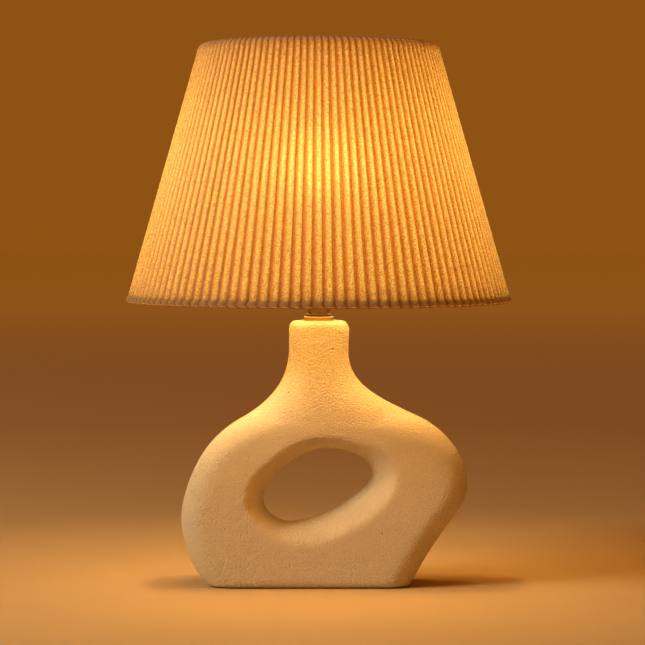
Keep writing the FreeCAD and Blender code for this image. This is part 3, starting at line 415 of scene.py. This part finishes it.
# Napped rib cloth: translucent, with a forward glow, and thicker along one side of each rib. Its glow
# carries painted light and shade by height, and painted shade in the grooves
def ribCloth():
    mat, tree, shader, where = newMaterial("ribCloth")
    tree.nodes.remove(shader)
    out = tree.nodes["Material Output"]
    uv = tree.nodes.new("ShaderNodeUVMap").outputs["UV"]
    split = tree.nodes.new("ShaderNodeSeparateXYZ")
    tree.links.new(uv, split.inputs[0])
    phase = maths(tree, "FRACT", split.outputs["X"])
    nap = noise(tree, where, cover["napScale"], 3, 0.7)
    soft = noise(tree, where, 260, 3, 0.6)
    # the glow across each rib, with painted shade in the groove
    thinWithGrooveShade = ramp(tree, phase, cover["throughWithGrooveShade"])
    grain = ramp(tree, nap, [(0.42, (0.40, 0.32, 0.22)), (0.55, (1, 1, 1))])
    mottledWithPaintedLight = blended(tree, "MULTIPLY", 0.9, thinWithGrooveShade, grain)
    place = tree.nodes.new("ShaderNodeSeparateXYZ")
    tree.links.new(where, place.inputs[0])
    low, high = coverBox[0][2], coverBox[1][2]
    share = maths(tree, "DIVIDE", maths(tree, "SUBTRACT", place.outputs["Z"], low), high - low)
    # painted light: the glow dims with height, with painted shadow bands by the rings and a lit line at the
    # hem
    mottledWithPaintedLight = blended(tree, "MULTIPLY", 1.0, mottledWithPaintedLight, ramp(tree, share, cover["paintedLightByHeight"]))
    normal = bump(tree, nap, 0.7, cover["napRelief"], bump(tree, soft, 0.5, 0.0010))
    through = tree.nodes.new("ShaderNodeBsdfTranslucent")
    tree.links.new(mottledWithPaintedLight, through.inputs["Color"])
    tree.links.new(normal, through.inputs["Normal"])
    surface = node(tree, "BsdfDiffuse", Roughness=0.9)
    # the cloth's surface colour, with painted shade bands by the rings
    tree.links.new(ramp(tree, share, cover["surfaceWithPaintedShade"]), surface.inputs["Color"])
    tree.links.new(normal, surface.inputs["Normal"])
    forward = node(tree, "BsdfRefraction", Roughness=cover["forwardSpread"], IOR=1.35)
    tree.links.new(mottledWithPaintedLight, forward.inputs["Color"])
    tree.links.new(normal, forward.inputs["Normal"])
    glow = tree.nodes.new("ShaderNodeMixShader")
    glow.inputs[0].default_value = cover["forwardShare"]
    tree.links.new(through.outputs[0], glow.inputs[1])
    tree.links.new(forward.outputs[0], glow.inputs[2])
    cloth = tree.nodes.new("ShaderNodeMixShader")
    # the dark surface shows in the painted shade bands by the rings
    edges = ramp(tree, share, cover["paintedShadeBandShare"])
    matt = maths(tree, "MAXIMUM", ramp(tree, phase, cover["mattStops"]), edges)
    tree.links.new(matt, cloth.inputs[0])
    tree.links.new(glow.outputs[0], cloth.inputs[1])
    tree.links.new(surface.outputs[0], cloth.inputs[2])
    tree.links.new(cloth.outputs[0], out.inputs["Surface"])
    return mat


# The surface shows as usual, but casts no shadow
def castNoShadow(tree, shader):
    clear = tree.nodes.new("ShaderNodeBsdfTransparent")
    path = tree.nodes.new("ShaderNodeLightPath")
    mix = tree.nodes.new("ShaderNodeMixShader")
    tree.links.new(path.outputs["Is Shadow Ray"], mix.inputs[0])
    tree.links.new(shader.outputs[0], mix.inputs[1])
    tree.links.new(clear.outputs[0], mix.inputs[2])
    tree.links.new(mix.outputs[0], tree.nodes["Material Output"].inputs["Surface"])


# Layers behind the cover: they pass the lamp's own light on, so that the outer cloth glows
def letsLampLightThrough(name, tint, grainScale=600):
    mat, tree, shader, where = newMaterial(name)
    fine = noise(tree, where, grainScale, 3)
    tree.links.new(mixColours(tree, fine, tint, tuple(min(1, c * 1.15) for c in tint)),
                   shader.inputs["Base Color"])
    shader.inputs["Roughness"].default_value = 0.8
    castNoShadow(tree, shader)
    return mat


def satinMetal(name, colour, roughness, scratch=0.15, metallic=1.0):
    mat, tree, shader, where = newMaterial(name)
    cloud = noise(tree, where, 120, 4)
    darker = tuple(c * 0.78 for c in colour)
    tree.links.new(mixColours(tree, cloud, darker, colour), shader.inputs["Base Color"])
    brushed = noise(tree, where, 900, 2)
    rough = maths(tree, "ADD", maths(tree, "MULTIPLY", brushed, 0.18), roughness - 0.09)
    tree.links.new(rough, shader.inputs["Roughness"])
    tree.links.new(bump(tree, brushed, scratch, 0.0002), shader.inputs["Normal"])
    shader.inputs["Metallic"].default_value = metallic
    return mat


def plainStuff(name, colour, roughness, grainScale, relief):
    mat, tree, shader, where = newMaterial(name)
    grain = noise(tree, where, grainScale, 4)
    darker = tuple(c * 0.7 for c in colour)
    tree.links.new(mixColours(tree, grain, darker, colour), shader.inputs["Base Color"])
    tree.links.new(bump(tree, grain, relief, 0.0004), shader.inputs["Normal"])
    shader.inputs["Roughness"].default_value = roughness
    return mat


bulbGlow = {
    "glassCool": (1, 0.62, 0.26),
    "glassWarm": (1, 0.70, 0.34),
    "glassStrength": 6.0,
    "wireCool": (1, 0.55, 0.2),
    "wireWarm": (1, 0.75, 0.4),
    "wireStrength": 12.0,
}


def litGlass():
    mat, tree, shader, where = newMaterial("litBulbGlass")
    cloud = noise(tree, where, 40, 2)
    warm = mixColours(tree, cloud, bulbGlow["glassCool"], bulbGlow["glassWarm"])
    tree.links.new(warm, shader.inputs["Base Color"])
    tree.links.new(warm, shader.inputs["Emission Color"])
    shader.inputs["Emission Strength"].default_value = bulbGlow["glassStrength"]
    shader.inputs["Roughness"].default_value = 0.3
    castNoShadow(tree, shader)
    return mat


def glowingWire():
    mat, tree, shader, where = newMaterial("glowingFilament")
    uneven = noise(tree, where, 300, 2)
    hot = mixColours(tree, uneven, bulbGlow["wireCool"], bulbGlow["wireWarm"])
    tree.links.new(hot, shader.inputs["Base Color"])
    tree.links.new(hot, shader.inputs["Emission Color"])
    shader.inputs["Emission Strength"].default_value = bulbGlow["wireStrength"]
    return mat


def dressCadNodes():
    brass = satinMetal("satinBrass", (0.50, 0.33, 0.12), 0.42)
    # Painted shade, partly: a much darker copy of the brass for the neck piece, which sits in shade under
    # the socket; the rest is its aged tone
    shadedBronze = satinMetal("agedBronzeWithPaintedShade", (0.13, 0.085, 0.03), 0.38)
    steel = satinMetal("platedSteel", (0.60, 0.58, 0.54), 0.32)
    drawn = satinMetal("drawnAluminium", (0.78, 0.76, 0.72), 0.3)
    lacquer = satinMetal("palePaintedWire", (0.72, 0.64, 0.50), 0.45, 0.05, 0.0)
    fibre = plainStuff("pressedFibre", (0.20, 0.13, 0.08), 0.85, 500, 0.3)
    moulding = plainStuff("phenolicMoulding", (0.09, 0.05, 0.03), 0.38, 250, 0.1)
    rubber = plainStuff("blackRubber", (0.035, 0.033, 0.03), 0.7, 700, 0.2)
    felt = plainStuff("brownFelt", (0.13, 0.09, 0.06), 0.98, 1400, 0.9)
    tape = letsLampLightThrough("wovenTape", (0.70, 0.55, 0.36), 900)
    glassy = plainStuff("blackBulbInsulator", (0.02, 0.02, 0.022), 0.2, 300, 0.05)
    liner = letsLampLightThrough("translucentLiner", (0.92, 0.76, 0.52), 250)
    bulb = litGlass()
    finishes = {
        # the neck piece wears the darkened copy of the brass, painted shade
        shadedBronze: ["brass_neck"],
        brass: ["check_ring", "harp_saddle", "socket_cap", "socket_shell", "centre_contact",
                "terminal_screws", "bulb_contact", "harp", "harp_seat", "harp_sleeve_left",
                "harp_sleeve_right", "finial"],
        steel: ["toggle_bar", "rod_nut", "threaded_rod", "lock_washer", "switch_shaft"],
        drawn: ["thread_shell", "bulb_base"],
        lacquer: ["top_ring", "bottom_ring", "shade_spider"],
        fibre: ["insulating_sleeve"], moulding: ["socket_block", "switch_knob"], rubber: ["inlet_grommet"],
        felt: ["felt_pad"], tape: ["top_tape", "bottom_tape"], glassy: ["bulb_insulator"],
        liner: ["shade_liner"], bulb: ["bulb_glass", "bulb_stem"], glowingWire(): ["bulb_filaments"],
    }
    for mat, names in finishes.items():
        for name in names:
            wear(frame["nodes"][name], mat)


stage = {
    "floorColour": (0.60, 0.42, 0.20),
    "farColour": (0.97, 0.97, 0.97),      # as light as the sky, so that no horizon shows
    "floorFadeFrom": 1.8,
    "floorFadeTo": 7.0,
    "worldColour": (0.40, 0.125, 0.010),
    "worldStrength": 0.68,
    "lampPower": 1.85,
    "lampColour": (1, 0.67, 0.27),
    "softboxPower": 43.0,
    "softboxColour": (1, 0.88, 0.68),
    "softboxPlace": (-2.1, -1.0, 1.5),
    "softboxSize": 0.9,
    "softboxAim": (0, 0, 0.22),
}


def makeFloor():
    deselectAll()
    bpy.ops.mesh.primitive_plane_add(size=40)
    floor = bpy.context.object
    floor.name = "studioFloor"
    mat, tree, shader, where = newMaterial("paleFloor")
    cloud = noise(tree, where, 6, 4)
    tint = stage["floorColour"]
    near = mixColours(tree, cloud, tuple(c * 0.94 for c in tint), tint)
    away = node(tree, "VectorMath")
    away.operation = "LENGTH"
    tree.links.new(where, away.inputs[0])
    reach = node(tree, "MapRange")
    reach.inputs["From Min"].default_value = stage["floorFadeFrom"]
    reach.inputs["From Max"].default_value = stage["floorFadeTo"]
    tree.links.new(away.outputs["Value"], reach.inputs["Value"])
    # Painted light: the floor pales with distance, so that far off it looks as bright as the sky
    tree.links.new(mixColours(tree, reach.outputs["Result"], near, stage["farColour"]),
                   shader.inputs["Base Color"])
    shader.inputs["Roughness"].default_value = 0.9
    shader.inputs["Specular IOR Level"].default_value = 0.1
    wear(floor, mat)


def addLight(name, kind, place, power, colour, **settings):
    light = bpy.data.lights.new(name, kind)
    light.energy = power
    light.color = colour
    for key, value in settings.items():
        setattr(light, key, value)
    obj = bpy.data.objects.new(name, light)
    obj.location = place
    bpy.context.scene.collection.objects.link(obj)
    return obj


def aim(obj, target):
    dx, dy, dz = (t - p for t, p in zip(target, obj.location))
    flat = math.hypot(dx, dy)
    obj.rotation_euler = (math.atan2(flat, -dz), 0, math.atan2(-dx, dy))


def makeLights():
    addLight("bulbLight", "POINT", (0, 0, bulbMiddle), stage["lampPower"], stage["lampColour"],
             shadow_soft_size=bulbRadius * 0.9)
    softbox = addLight("softbox", "AREA", stage["softboxPlace"], stage["softboxPower"],
                       stage["softboxColour"], size=stage["softboxSize"])
    aim(softbox, stage["softboxAim"])
    world = bpy.data.worlds.new("studio")
    world.use_nodes = True
    sky = world.node_tree.nodes["Background"]
    sky.inputs["Color"].default_value = (*stage["worldColour"], 1)
    sky.inputs["Strength"].default_value = stage["worldStrength"]
    bpy.context.scene.world = world


view = {
    "distance": 2.34,
    "height": 0.333,
    "aside": 0.0034,
    "tiltDown": 2.37,             # degrees
    "lens": 145.1,
}


def makeCamera():
    data = bpy.data.cameras.new("camera")
    data.lens = view["lens"]
    data.sensor_width = 36
    data.clip_start = 0.05
    data.clip_end = 60
    obj = bpy.data.objects.new("camera", data)
    obj.location = (view["aside"], -view["distance"], view["height"])
    obj.rotation_euler = (math.radians(90 - view["tiltDown"]), 0, 0)
    bpy.context.scene.collection.objects.link(obj)
    bpy.context.scene.camera = obj
    bpy.context.scene.view_settings.view_transform = "Standard"


makeCamera()
makeFloor()
makeLights()
print("stage, lights and camera ready")
makeCeramicBody()
makeCover()
dressCadNodes()
print("materials on all CAD nodes")
